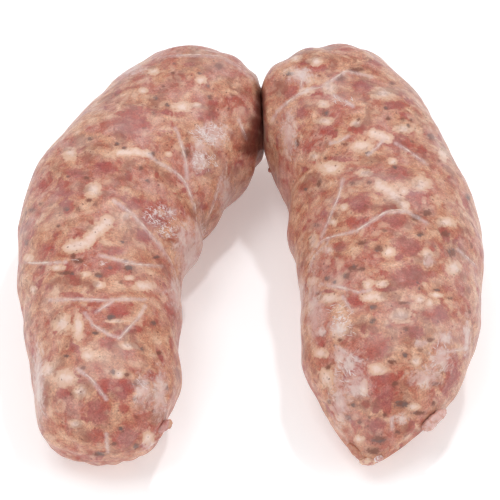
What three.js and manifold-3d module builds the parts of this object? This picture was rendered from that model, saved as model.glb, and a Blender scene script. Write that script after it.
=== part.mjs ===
// A string of two fat, coarse-ground fresh sausage links, lying folded side by side on a table.
// One hog casing runs through the whole string: it is filled for the left link, pinched and
// twisted, and filled again for the right link, so the string is one solid.
// The links' far ends press on each other and the pinch between them is deep in that crease.
// Millimetres, +Z up, the table is z = 0, and -Y is the end with the two cut casing ends.

import * as THREE from "three";
import { mergeVertices } from "three/addons/utils/BufferGeometryUtils.js";
import Module from "manifold-3d";

// How the filled casing lies: a little wider than high, with a flat where it rests.
const WIDE = 1.04;
const LOW = 0.95;
const TABLE = 0;

// Each link runs from its cut near end to the crease. Along it, 0 is the near pole and 1 the far
// one. Around it, 0 is the +X side of a link that points along +Y, and a quarter turn is its top.
// A bulge with a negative height is a dent.
const LEFT_LINK = {
  side: 1,
  axis: [
    [-31, -58, 12],
    [-35.5, -22, 17],
    [-33.2, 18, 18.6],
    [-0.5, 57.8, 19.7],
  ],
  girth: [16.2, 17.5, 18.6, 20.3, 20.4, 20],
  nearCap: { length: 17, swell: 2.1, round: 2.2 },
  farCap: { length: 18, swell: 2, round: 2.1 },
  bulges: [
    { along: 0.07, around: -0.2, long: 5, wide: 0.5, high: -3.2 },
    { along: 0.02, around: -0.9, long: 6, wide: 0.8, high: -1.6 },
    { along: 0.05, around: -2.8, long: 6, wide: 0.6, high: 1.2 },
    { along: 0.2, around: 3, long: 9, wide: 0.6, high: -0.8 },
    { along: 0.42, around: 3.1, long: 12, wide: 0.8, high: 0.7 },
    { along: 0.49, around: 0, long: 11, wide: 0.6, high: 4.2 },
    { along: 0.68, around: -0.1, long: 9, wide: 0.8, high: 3 },
    { along: 0.8, around: 2.8, long: 9, wide: 0.8, high: 1.5 },
    { along: 0.89, around: -0.3, long: 5, wide: 1, high: -2.7 },
    { along: 0.97, around: 0.6, long: 8, wide: 0.9, high: -1 },
  ],
};
const RIGHT_LINK = {
  side: -1,
  axis: [
    [27.4, -56, 6],
    [33.2, -22, 18.2],
    [31.3, 20.5, 19.1],
    [10.5, 59, 20],
  ],
  girth: [17, 19.4, 20.9, 21.3, 21.2, 21.4],
  nearCap: { length: 32, swell: 1.8, round: 1.35 },
  farCap: { length: 17, swell: 2, round: 2.1 },
  bulges: [
    { along: 0.04, around: -0.6, long: 7, wide: 0.7, high: -1.2 },
    { along: 0.15, around: 3.1, long: 8, wide: 0.6, high: 2.2 },
    { along: 0.45, around: 0, long: 12, wide: 0.7, high: 0.8 },
    { along: 0.52, around: 3.1, long: 13, wide: 0.6, high: 2.2 },
    { along: 0.64, around: 0, long: 8, wide: 0.6, high: -1.6 },
    { along: 0.81, around: -3, long: 6, wide: 0.7, high: -1.6 },
    { along: 0.9, around: -2.7, long: 7, wide: 1, high: -4.2 },
    { along: 0.94, around: 2.3, long: 8, wide: 0.8, high: 1.8 },
  ],
};

// Scraps that are grown on to the casing: an ellipsoid each, with its long axis, the way that
// its flat side faces, and its half sizes along the long axis, across it and out of the skin.
const SCRAPS = [
  // The drawn-out cut corner of the left link's casing, and the fat crumb stuck in it.
  { at: [-20.2, -51.8, 14.9], long: [0.78, 0.46, 0.43], out: [0.85, -0.5, 0], half: [2.2, 1.3, 1.1] },
  { at: [-18.9, -51.4, 15.3], long: [0.1, 0.7, 0.7], out: [0.8, -0.6, 0], half: [1.1, 0.8, 0.8] },
  // The flap of fat on the outer side of the right link's near end, and its thick lower lobe.
  { at: [42.8, -48.5, 13.4], long: [0.77, 0.47, 0.44], out: [0.66, -0.75, 0], half: [3.7, 1.3, 1.3] },
  { at: [41.8, -49.2, 12.8], long: [0.77, 0.47, 0.44], out: [0.66, -0.75, 0], half: [2.3, 1.6, 1.4] },
  // The meat that bulges from the right link's open casing end, its lip, and the frill beside it.
  { at: [24.9, -54.3, 8.2], long: [-0.7, 0.51, 0.48], out: [-0.5, -0.8, 0.3], half: [3.2, 1.1, 0.9] },
  { at: [27.4, -55.9, 7.1], long: [1, 0, 0.1], out: [0, -1, 0], half: [2, 1.1, 0.9] },
  { at: [29.6, -55.6, 7.9], long: [0.9, -0.1, 0.3], out: [0.2, -0.95, 0], half: [1.3, 0.9, 0.9] },
  // A crumb on the right link, just below the crease.
  { at: [5, 32.3, 14.4], long: [0.3, -0.3, 0.9], out: [-0.9, -0.4, 0], half: [0.8, 0.6, 0.6] },
];

// Coarse mince pushes the casing out in low lumps, in waves along and around the link.
const LUMPS = [
  { height: 0.22, along: 0.19, around: 2, turn: 0.6 },
  { height: 0.2, along: 0.31, around: 3, turn: 2.3 },
  { height: 0.16, along: -0.43, around: 4, turn: 4.1 },
];

// The casing gathers into pleats towards each pole.
const PLEATS = { count: 12, depth: 0.06, reach: 7 };

// The two links press on each other along an upright plane. A negative gap joins them there.
const PRESS = { x: 4.6, lean: -0.035, gap: -0.4, softness: 1.2 };

const RINGS = 46;
const SEGMENTS = 44;
const SCRAP_RINGS = 7;
const SCRAP_SEGMENTS = 10;

// A value from a list of evenly spaced ones, by a smooth curve through them all.
function smoothValue(values, share) {
  const last = values.length - 1;
  const place = THREE.MathUtils.clamp(share, 0, 1) * last;
  const step = Math.min(Math.floor(place), last - 1);
  const pick = (index) => values[THREE.MathUtils.clamp(index, 0, last)];
  const [before, from, to, after] = [-1, 0, 1, 2].map((offset) => pick(step + offset));
  const t = place - step;
  const leave = (to - before) / 2;
  const arrive = (after - from) / 2;
  const square = t * t;
  const cube = square * t;
  return (
    (2 * cube - 3 * square + 1) * from +
    (cube - 2 * square + t) * leave +
    (3 * square - 2 * cube) * to +
    (cube - square) * arrive
  );
}

// How far the casing has opened at a distance from a pole, from 0 at the pole to 1.
function capShare(cap, distance) {
  const share = THREE.MathUtils.clamp(distance / cap.length, 0, 1);
  return Math.pow(1 - Math.pow(1 - share, cap.swell), 1 / cap.round);
}

function lumpHeight(distance, around) {
  return LUMPS.reduce((sum, lump) => {
    const wave = Math.sin(around * lump.around + distance * lump.along + lump.turn);
    return sum + lump.height * wave;
  }, 0);
}

function bulgeHeight(link, length, along, around) {
  return link.bulges.reduce((sum, bulge) => {
    const down = ((along - bulge.along) * length) / bulge.long;
    const turn = Math.atan2(Math.sin(around - bulge.around), Math.cos(around - bulge.around));
    return sum + bulge.high * Math.exp(-down * down - (turn / bulge.wide) ** 2);
  }, 0);
}

// Moves a point back from the plane that the two links share, more softly the nearer it is.
function press(point, direction) {
  const plane = PRESS.x + PRESS.lean * point.y;
  const past = (point.x - plane) * direction + PRESS.gap;
  const soft = PRESS.softness;
  const kept = -soft * Math.log1p(Math.exp(-past / soft));
  point.x = plane + direction * (kept - PRESS.gap);
}

// A point of a link's skin.
function skinPoint(link, curve, length, along, around) {
  const distance = along * length;
  const toPole = Math.min(distance, length - distance);
  const open = capShare(link.nearCap, distance) * capShare(link.farCap, length - distance);
  const pleat = PLEATS.depth * Math.exp(-toPole / PLEATS.reach) * Math.cos(PLEATS.count * around);
  const radius = smoothValue(link.girth, along) * (1 + pleat);
  const relief = lumpHeight(distance, around) + bulgeHeight(link, length, along, around);
  const reach = open * (radius + relief);
  const tangent = curve.getTangentAt(along);
  const side = new THREE.Vector3(tangent.y, -tangent.x, 0).normalize();
  const up = new THREE.Vector3().crossVectors(side, tangent);
  const point = curve.getPointAt(along);
  point.addScaledVector(side, reach * WIDE * Math.cos(around));
  point.addScaledVector(up, reach * LOW * Math.sin(around));
  press(point, link.side);
  point.z = Math.max(point.z, TABLE);
  return point;
}

// A closed skin from rings of points between two poles.
function closedSkin(rings, firstPole, lastPole) {
  const around = rings[0].length;
  const points = [firstPole, ...rings.flat(), lastPole];
  const last = points.length - 1;
  const triangles = [];
  for (let i = 0; i < around; i++) {
    const next = (i + 1) % around;
    triangles.push(0, 1 + i, 1 + next);
    const top = 1 + (rings.length - 1) * around;
    triangles.push(last, top + next, top + i);
    for (let ring = 0; ring < rings.length - 1; ring++) {
      const low = 1 + ring * around;
      const high = low + around;
      triangles.push(low + i, high + next, low + next);
      triangles.push(low + i, high + i, high + next);
    }
  }
  const geometry = new THREE.BufferGeometry().setFromPoints(points);
  geometry.setIndex(triangles);
  return geometry;
}

function linkGeometry(link) {
  const curve = new THREE.CatmullRomCurve3(
    link.axis.map(([x, y, z]) => new THREE.Vector3(x, y, z)),
    false,
    "catmullrom",
    0.5,
  );
  const length = curve.getLength();
  const at = (along, around) => skinPoint(link, curve, length, along, around);
  const rings = [];
  for (let ring = 1; ring < RINGS; ring++) {
    const along = (1 - Math.cos((Math.PI * ring) / RINGS)) / 2;
    const points = [];
    for (let i = 0; i < SEGMENTS; i++) points.push(at(along, (2 * Math.PI * i) / SEGMENTS));
    rings.push(points);
  }
  return closedSkin(rings, at(0, 0), at(1, 0));
}

function scrapGeometry(scrap) {
  const long = new THREE.Vector3(...scrap.long).normalize();
  const across = new THREE.Vector3(...scrap.out).cross(long).normalize();
  const out = new THREE.Vector3().crossVectors(across, long);
  const frame = new THREE.Matrix4().makeBasis(long, across, out);
  const at = (down, around) => {
    const [longHalf, acrossHalf, outHalf] = scrap.half;
    const x = -longHalf * Math.cos(down);
    const y = acrossHalf * Math.sin(down) * Math.cos(around);
    const z = outHalf * Math.sin(down) * Math.sin(around);
    const point = new THREE.Vector3(x, y, z).applyMatrix4(frame);
    return point.add(new THREE.Vector3(...scrap.at));
  };
  const rings = [];
  for (let ring = 1; ring < SCRAP_RINGS; ring++) {
    const down = (Math.PI * ring) / SCRAP_RINGS;
    const turns = Array.from({ length: SCRAP_SEGMENTS }, (_, i) => (2 * Math.PI * i) / SCRAP_SEGMENTS);
    rings.push(turns.map((around) => at(down, around)));
  }
  return closedSkin(rings, at(0, 0), at(Math.PI, 0));
}

const wasm = await Module();
wasm.setup();

function solidOf(geometry) {
  const merged = mergeVertices(geometry, 1e-4);
  return new wasm.Manifold(
    new wasm.Mesh({
      numProp: 3,
      vertProperties: merged.attributes.position.array,
      triVerts: new Uint32Array(merged.index.array),
    }),
  );
}

function geometryOf(solid) {
  const mesh = solid.getMesh();
  const geometry = new THREE.BufferGeometry();
  geometry.setAttribute("position", new THREE.BufferAttribute(mesh.vertProperties, 3));
  geometry.setIndex(new THREE.BufferAttribute(mesh.triVerts, 1));
  geometry.computeVertexNormals();
  return geometry;
}

const pieces = [LEFT_LINK, RIGHT_LINK].map(linkGeometry).concat(SCRAPS.map(scrapGeometry));
const whole = pieces.map(solidOf).reduce((sum, solid) => sum.add(solid));
const sausageGeometry = geometryOf(whole);

// The footprint's centre is the origin.
sausageGeometry.computeBoundingBox();
const centre = sausageGeometry.boundingBox.getCenter(new THREE.Vector3());
sausageGeometry.translate(-centre.x, -centre.y, 0);

const sausage = new THREE.Mesh(
  sausageGeometry,
  new THREE.MeshStandardMaterial({ color: 0xc08a78, roughness: 0.35, metalness: 0 }),
);
sausage.name = "sausage_string";

const string = new THREE.Group();
string.add(sausage);

export default string;
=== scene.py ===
# %% [markdown]
# # Two fresh sausage links, folded side by side
#
# The real thing is a hog casing, a wet skin about as thin as paper, stuffed with coarsely minced
# pork and pinched into links. What a viewer sees is mostly the filling: red lean meat, cream
# fat, brown and blue-grey flecks of pepper, all pressed flat against a glossy film.
#
# The lesson builds each link as a sweep along its own centre line, gives it the low lumps of the
# mince, and then spends most of its effort on the colour, which is a stack of soft patterns.

# %% Load the frame
import bmesh
import bpy
import math
import numpy as np
import random
from mathutils import Matrix, Vector
from mathutils.bvhtree import BVHTree


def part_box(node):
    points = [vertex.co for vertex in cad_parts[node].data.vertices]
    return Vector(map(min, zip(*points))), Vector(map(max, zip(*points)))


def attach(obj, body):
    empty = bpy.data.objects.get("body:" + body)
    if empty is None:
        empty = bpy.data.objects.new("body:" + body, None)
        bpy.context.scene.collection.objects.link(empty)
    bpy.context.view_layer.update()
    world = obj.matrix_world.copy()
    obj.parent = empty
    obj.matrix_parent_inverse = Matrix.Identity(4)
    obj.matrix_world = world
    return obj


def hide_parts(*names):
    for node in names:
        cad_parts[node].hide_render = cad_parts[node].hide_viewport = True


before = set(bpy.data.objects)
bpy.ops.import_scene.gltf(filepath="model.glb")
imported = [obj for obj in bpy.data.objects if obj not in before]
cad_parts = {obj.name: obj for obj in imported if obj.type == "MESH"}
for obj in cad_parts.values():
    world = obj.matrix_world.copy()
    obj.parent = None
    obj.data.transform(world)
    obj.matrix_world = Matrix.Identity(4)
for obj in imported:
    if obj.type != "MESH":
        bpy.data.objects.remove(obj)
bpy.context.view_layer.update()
STRING_LOW, STRING_HIGH = [Vector(corner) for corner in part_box("sausage_string")]
MM = 0.001
print("the string is", [round(value / MM, 1) for value in STRING_HIGH - STRING_LOW], "mm")

# %% [markdown]
# ## The camera
#
# A long lens, well back, looks down on the links, as the photograph's did. It comes first because
# the marks that a viewer would recognise are placed by where the photograph shows them: a line
# from the camera through a point of the picture meets the casing in one place.

# %% The camera at the photograph's angle
FRAME_WIDTH = 500
LOOK_DOWN = math.radians(47)
DISTANCE = 650 * MM
TARGET = Vector((0.16, -2.5, 19)) * MM
PIXELS_PER_MM = 4.1
SENSOR = 36.0

TOWARDS = Vector((0, -math.cos(LOOK_DOWN), math.sin(LOOK_DOWN)))
PICTURE_UP = Vector((0, math.sin(LOOK_DOWN), math.cos(LOOK_DOWN)))
PICTURE_RIGHT = Vector((1, 0, 0))
EYE = TARGET + TOWARDS * DISTANCE
FOCAL_PIXELS = PIXELS_PER_MM * DISTANCE / MM

camera_data = bpy.data.cameras.new("photo_camera")
camera_data.sensor_width = SENSOR
camera_data.lens = SENSOR * FOCAL_PIXELS / FRAME_WIDTH
camera_data.clip_start = 0.05
camera = bpy.data.objects.new("photo_camera", camera_data)
camera.location = EYE
camera.rotation_euler = (math.pi / 2 - LOOK_DOWN, 0, 0)
bpy.context.scene.collection.objects.link(camera)
bpy.context.scene.camera = camera
print("lens", round(camera_data.lens, 1), "mm")

# %% [markdown]
# ## Helpers for node trees
#
# Geometry trees and material trees are both written as small sums, so a few helpers that add a
# math node and wire it up keep the recipes readable.

# %% Small helpers for nodes
def feed(tree, socket, value):
    if isinstance(value, bpy.types.NodeSocket):
        tree.links.new(value, socket)
    else:
        socket.default_value = value


def calc(tree, operation, *values, clamp=False):
    node = tree.nodes.new("ShaderNodeMath")
    node.operation = operation
    node.use_clamp = clamp
    for socket, value in zip(node.inputs, values):
        feed(tree, socket, value)
    return node.outputs[0]


def plus(tree, first, *others):
    for other in others:
        first = calc(tree, "ADD", first, other)
    return first


def minus(tree, first, second):
    return calc(tree, "SUBTRACT", first, second)


def times(tree, first, *others):
    for other in others:
        first = calc(tree, "MULTIPLY", first, other)
    return first


def times_plus(tree, first, second, rest):
    return calc(tree, "MULTIPLY_ADD", first, second, rest)


def over(tree, first, second):
    return calc(tree, "DIVIDE", first, second)


def calc_vector(tree, operation, *values):
    node = tree.nodes.new("ShaderNodeVectorMath")
    node.operation = operation
    sockets = [node.inputs[0], node.inputs["Scale"]] if operation == "SCALE" else node.inputs
    for socket, value in zip(sockets, values):
        feed(tree, socket, value)
    return node.outputs["Vector"]


def set_inputs(tree, node, **inputs):
    for name, value in inputs.items():
        feed(tree, node.inputs[name.replace("_", " ")], value)


def add_node(tree, kind, settings=None, **inputs):
    node = tree.nodes.new(kind)
    for name, value in (settings or {}).items():
        setattr(node, name, value)
    set_inputs(tree, node, **inputs)
    return node


def noise(tree, place, scale, detail=2.0, roughness=0.5, colour=False):
    settings = {"Scale": scale, "Detail": detail, "Roughness": roughness}
    node = add_node(tree, "ShaderNodeTexNoise", Vector=place, **settings)
    return node.outputs["Color" if colour else "Fac"]


def split(tree, vector):
    return add_node(tree, "ShaderNodeSeparateXYZ", Vector=vector).outputs


def new_geometry_tree(name):
    tree = bpy.data.node_groups.new(name, "GeometryNodeTree")
    tree.interface.new_socket(name="Geometry", in_out="OUTPUT", socket_type="NodeSocketGeometry")
    tree.interface.new_socket(name="Geometry", in_out="INPUT", socket_type="NodeSocketGeometry")
    return tree, tree.nodes.new("NodeGroupInput"), tree.nodes.new("NodeGroupOutput")


def add_input(tree, entry, name, kind):
    tree.interface.new_socket(name=name, in_out="INPUT", socket_type=f"NodeSocket{kind}")
    return entry.outputs[name]


def finish_tree(tree, geometry, leave, material):
    smooth = add_node(tree, "GeometryNodeSetShadeSmooth", Geometry=geometry)
    real = add_node(tree, "GeometryNodeRealizeInstances", Geometry=smooth.outputs[0])
    dressed = add_node(tree, "GeometryNodeSetMaterial", Geometry=real.outputs[0], Material=material)
    tree.links.new(dressed.outputs[0], leave.inputs["Geometry"])


def run_tree(name, start_mesh, tree, values):
    """Runs a tree on a start mesh and gives back a plain mesh object at the origin."""
    holder = bpy.data.objects.new(f"{name}_start", start_mesh)
    bpy.context.scene.collection.objects.link(holder)
    modifier = holder.modifiers.new(tree.name, "NODES")
    modifier.node_group = tree
    for item in tree.interface.items_tree:
        if item.in_out == "INPUT" and item.name in values:
            modifier[item.identifier] = values[item.name]
    depsgraph = bpy.context.evaluated_depsgraph_get()
    evaluated = holder.evaluated_get(depsgraph)
    mesh = bpy.data.meshes.new_from_object(evaluated, preserve_all_data_layers=True, depsgraph=depsgraph)
    bpy.data.objects.remove(holder)
    mesh.name = name
    piece = bpy.data.objects.new(name, mesh)
    bpy.context.scene.collection.objects.link(piece)
    return piece


def read_points(mesh, what="co"):
    values = np.empty(len(mesh.vertices) * 3)
    mesh.vertices.foreach_get(what, values)
    return values.reshape(-1, 3)

# %% [markdown]
# ## What a link is
#
# A link is a soft tube. Its centre line bends, its girth swells and shrinks a little along it,
# both ends close over in a rounded cap, and the mince inside makes it slightly wider than high.
# It could be sculpted by hand, but its shape follows a rule, so the centre line is a string of
# points that carry how open and how thick the casing is there, and a tree does the rest.

# %% The two links, in millimetres
# A cap closes over its length; a bulge is how far along the link it is, how far round it in
# radians, how long it is, how wide in radians, and how high. A hollow has a height below zero.
WIDE = 1.04
LOW = 0.95
LEFT_LINK = {
    "side": 1.0,
    "axis": [(-31, -58, 12), (-35.5, -22, 17), (-33.2, 18, 18.6), (-0.5, 57.8, 19.7)],
    "girth": [16.2, 17.5, 18.6, 20.3, 20.4, 20],
    "near_cap": {"length": 17, "swell": 2.1, "round": 2.2},
    "far_cap": {"length": 18, "swell": 2, "round": 2.1},
    "bulges": [
        (0.07, -0.2, 5, 0.5, -3.2),
        (0.02, -0.9, 6, 0.8, -1.6),
        (0.05, -2.8, 6, 0.6, 1.2),
        (0.2, 3, 9, 0.6, -0.8),
        (0.42, 3.1, 12, 0.8, 0.7),
        (0.49, 0, 11, 0.6, 4.2),
        (0.68, -0.1, 9, 0.8, 3),
        (0.8, 2.8, 9, 0.8, 1.5),
        (0.89, -0.3, 5, 1, -2.7),
        (0.97, 0.6, 8, 0.9, -1),
    ],
}
RIGHT_LINK = {
    "side": -1.0,
    "axis": [(27.4, -56, 6), (33.2, -22, 18.2), (31.3, 20.5, 19.1), (10.5, 59, 20)],
    "girth": [17, 19.4, 20.9, 21.3, 21.2, 21.4],
    "near_cap": {"length": 32, "swell": 1.8, "round": 1.35},
    "far_cap": {"length": 17, "swell": 2, "round": 2.1},
    "bulges": [
        (0.04, -0.6, 7, 0.7, -1.2),
        (0.15, 3.1, 8, 0.6, 2.2),
        (0.45, 0, 12, 0.7, 0.8),
        (0.52, 3.1, 13, 0.6, 2.2),
        (0.64, 0, 8, 0.6, -1.6),
        (0.81, -3, 6, 0.7, -1.6),
        (0.9, -2.7, 7, 1, -4.2),
        (0.94, 2.3, 8, 0.8, 1.8),
    ],
}
RINGS = 360
SEGMENTS = 270
END_STRETCH = 8
END_RINGS = 43
TANGENT_STEP = 1e-4

# %% The centre line of a link
def ease(start, end, leave, arrive, t):
    cube = 2 * start - 2 * end + leave + arrive
    square = 3 * end - 3 * start - 2 * leave - arrive
    return cube * t**3 + square * t**2 + leave * t + start


def bend_through(points, steps=600):
    """Many points on a smooth curve through the given ones, and how far along it each one is."""
    knots = [Vector(point) for point in points]
    knots = [2 * knots[0] - knots[1], *knots, 2 * knots[-1] - knots[-2]]
    dense = []
    for first, start, end, last in zip(knots, knots[1:], knots[2:], knots[3:]):
        leave = (end - first) / 2
        arrive = (last - start) / 2
        dense += [ease(start, end, leave, arrive, step / steps) for step in range(steps)]
    dense.append(knots[-2])
    dense = np.array(dense)
    travelled = np.concatenate([[0], np.cumsum(np.linalg.norm(np.diff(dense, axis=0), axis=1))])
    return dense, travelled


def smooth_value(values, share):
    last = len(values) - 1
    place = min(max(share, 0), 1) * last
    step = min(int(place), last - 1)
    before, start, end, after = [values[min(max(step + i, 0), last)] for i in (-1, 0, 1, 2)]
    return ease(start, end, (end - before) / 2, (after - start) / 2, place - step)


def cap_share(cap, distance):
    share = min(max(distance / cap["length"], 0), 1)
    return (1 - (1 - share) ** cap["swell"]) ** (1 / cap["round"])


def ring_distances(length):
    """Even steps along the link, and finer ones towards its poles, where the cap closes fast."""
    ends = END_STRETCH * (np.arange(END_RINGS) / END_RINGS) ** 2
    middle = np.linspace(END_STRETCH, length - END_STRETCH, RINGS + 1 - 2 * END_RINGS)
    return np.concatenate([ends, middle, length - ends[::-1]])


def centre_line(name, link):
    dense, travelled = bend_through(link["axis"])
    length = travelled[-1]
    shares = ring_distances(length) / length

    def points_at(shifted):
        return np.array([np.interp(shifted * length, travelled, dense[:, i]) for i in range(3)]).T

    places = points_at(shares)
    tangents = points_at(shares + TANGENT_STEP) - points_at(shares - TANGENT_STEP)
    tangents /= np.linalg.norm(tangents, axis=1)[:, None]
    sides = np.stack([tangents[:, 1], -tangents[:, 0], np.zeros(RINGS + 1)], axis=1)
    sides /= np.linalg.norm(sides, axis=1)[:, None]
    ups = np.cross(sides, tangents)
    distances = shares * length
    opens = [
        cap_share(link["near_cap"], distance) * cap_share(link["far_cap"], length - distance)
        for distance in distances
    ]
    girths = [smooth_value(link["girth"], share) for share in shares]

    mesh = bpy.data.meshes.new(f"{name}_centre_line")
    mesh.from_pydata([tuple(place) for place in places], [(i, i + 1) for i in range(RINGS)], [])
    for label, values in (("place", places), ("side", sides), ("up", ups)):
        mesh.attributes.new(label, "FLOAT_VECTOR", "POINT").data.foreach_set("vector", values.ravel())
    for label, values in (("distance", distances), ("open", opens), ("girth", girths), ("along", shares)):
        mesh.attributes.new(label, "FLOAT", "POINT").data.foreach_set("value", np.array(values))
    print(name, "is", round(length, 1), "mm along its centre line")
    return mesh, length

# %% [markdown]
# ## The casing's surface, as a tree
#
# The tree sweeps a ring along the centre line and then moves every point to where the rule puts
# it. The rule is the same sum that the solid was made with: girth, low waves, the named bulges,
# the pleats at both poles, and the flat cheek where one link presses on the other. Finer lumps,
# the size of the mince, are then pushed out along the skin's own normals.

# %% The tree that fills a casing
WAVES = [
    {"height": 0.22, "along": 0.19, "around": 2, "turn": 0.6},
    {"height": 0.2, "along": 0.31, "around": 3, "turn": 2.3},
    {"height": 0.16, "along": -0.43, "around": 4, "turn": 4.1},
]
PLEATS = {"Pleat count": 12.0, "Pleat depth": 0.06, "Pleat reach": 7.0}
PRESS = {"Press place": 4.6, "Press lean": -0.035, "Press gap": -0.4, "Press softness": 1.2}
MINCE = {"Chunk size": 5.2, "Chunk height": 0.34, "Grain size": 1.9, "Grain height": 0.1}


def read_field(tree, name, kind="FLOAT"):
    node = add_node(tree, "GeometryNodeInputNamedAttribute", {"data_type": kind}, Name=name)
    return node.outputs["Attribute"]


def wave_height(tree, wave, distance, around):
    turned = times_plus(tree, around, float(wave["around"]), wave["turn"])
    phase = times_plus(tree, distance, wave["along"], turned)
    return times(tree, calc(tree, "SINE", phase), wave["height"])


def bulge_height(tree, bulge, length, along, around):
    bulge_along, bulge_around, long, wide, high = bulge
    down = times(tree, minus(tree, along, bulge_along), length / long)
    gap = minus(tree, around, float(bulge_around))
    turn = calc(tree, "ARCTAN2", calc(tree, "SINE", gap), calc(tree, "COSINE", gap))
    turn = over(tree, turn, wide)
    spread = plus(tree, calc(tree, "POWER", down, 2.0), calc(tree, "POWER", turn, 2.0))
    return times(tree, calc(tree, "EXPONENT", times(tree, spread, -1.0)), high)


def swept_tube(tree, entry, segments):
    """A ring carried along the centre line, where each point knows how far round it is."""
    line = add_node(tree, "GeometryNodeMeshToCurve", Mesh=entry.outputs["Geometry"])
    ring = add_node(tree, "GeometryNodeCurvePrimitiveCircle", Resolution=segments)
    index = add_node(tree, "GeometryNodeInputIndex").outputs[0]
    marked = add_node(
        tree, "GeometryNodeStoreNamedAttribute", {"data_type": "FLOAT", "domain": "POINT"},
        Geometry=ring.outputs[0], Name="around", Value=over(tree, times(tree, index, -math.tau), segments),
    )
    tube = add_node(tree, "GeometryNodeCurveToMesh", Curve=line.outputs[0], Profile_Curve=marked.outputs[0])
    return tube.outputs[0]


def casing_place(tree, link, length, value):
    """Where the rule puts a point, from how far along the link and how far round it is."""
    along, around, distance = [read_field(tree, name) for name in ("along", "around", "distance")]
    to_pole = calc(tree, "MINIMUM", distance, minus(tree, length, distance))
    fade = calc(tree, "EXPONENT", over(tree, times(tree, to_pole, -1.0), value["Pleat reach"]))
    fold = calc(tree, "COSINE", times(tree, around, value["Pleat count"]))
    pleat = times(tree, fade, fold, value["Pleat depth"])
    girth = times(tree, read_field(tree, "girth"), plus(tree, pleat, 1.0))
    waves = [wave_height(tree, wave, distance, around) for wave in WAVES]
    bulges = [bulge_height(tree, bulge, length, along, around) for bulge in link["bulges"]]
    reach = times(tree, read_field(tree, "open"), plus(tree, girth, *waves, *bulges))
    place = read_field(tree, "place", "FLOAT_VECTOR")
    for direction, turned, stretch in (("side", "COSINE", WIDE), ("up", "SINE", LOW)):
        out = times(tree, reach, calc(tree, turned, around), stretch)
        moved = calc_vector(tree, "SCALE", read_field(tree, direction, "FLOAT_VECTOR"), out)
        place = calc_vector(tree, "ADD", place, moved)
    return place


def press_cheek(tree, place, value):
    """The place, softly held back where it would pass the plane between the two links."""
    x, y, z = split(tree, place)
    plane = times_plus(tree, y, value["Press lean"], value["Press place"])
    past = times(tree, minus(tree, x, plane), value["Press side"])
    past = over(tree, plus(tree, past, value["Press gap"]), value["Press softness"])
    grown = plus(tree, calc(tree, "EXPONENT", times(tree, past, -1.0)), 1.0)
    kept = times(tree, calc(tree, "LOGARITHM", grown, math.e), value["Press softness"], -1.0)
    kept = times(tree, minus(tree, kept, value["Press gap"]), value["Press side"])
    return add_node(tree, "ShaderNodeCombineXYZ", X=plus(tree, plane, kept), Y=y, Z=z).outputs[0]


def mince_relief(tree, here, value):
    """How far the pieces of the mince, and its finer grains, push the skin out."""
    swirl = calc_vector(tree, "SUBTRACT", noise(tree, here, 0.16, colour=True), (0.5, 0.5, 0.5))
    chunk = add_node(
        tree, "ShaderNodeTexVoronoi", {"feature": "SMOOTH_F1"},
        Vector=calc_vector(tree, "ADD", here, calc_vector(tree, "SCALE", swirl, 3.0)),
        Scale=over(tree, 1.0, value["Chunk size"]), Smoothness=0.7,
    )
    lump = times(tree, minus(tree, 0.45, chunk.outputs["Distance"]), value["Chunk height"])
    grain = minus(tree, noise(tree, here, over(tree, 1.0, value["Grain size"]), 1.0), 0.5)
    return times_plus(tree, grain, value["Grain height"], lump)


def rest_on_table(tree, here, scale):
    x, y, z = split(tree, here)
    resting = add_node(tree, "ShaderNodeCombineXYZ", X=x, Y=y, Z=calc(tree, "MAXIMUM", z, 0.0))
    return calc_vector(tree, "SCALE", resting.outputs[0], scale)


def casing_tree(name, link, length):
    tree, entry, leave = new_geometry_tree(name)
    value = {}
    for label in [*PLEATS, *PRESS, *MINCE, "Press side", "Skin scale"]:
        value[label] = add_input(tree, entry, label, "Float")
    segments = add_input(tree, entry, "Segments", "Int")
    material = add_input(tree, entry, "Material", "Material")

    def moved(geometry, **inputs):
        return add_node(tree, "GeometryNodeSetPosition", Geometry=geometry, **inputs).outputs[0]

    place = press_cheek(tree, casing_place(tree, link, length, value), value)
    shaped = moved(swept_tube(tree, entry, segments), Position=place)
    closed = add_node(tree, "GeometryNodeMergeByDistance", Geometry=shaped, Distance=0.001)
    here = add_node(tree, "GeometryNodeInputPosition").outputs[0]
    normal = add_node(tree, "GeometryNodeInputNormal").outputs[0]
    lumps = calc_vector(tree, "SCALE", normal, mince_relief(tree, here, value))
    lumpy = moved(closed.outputs[0], Offset=lumps)
    resting = moved(lumpy, Position=rest_on_table(tree, here, value["Skin scale"]))
    finish_tree(tree, resting, leave, material)
    return tree
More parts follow.
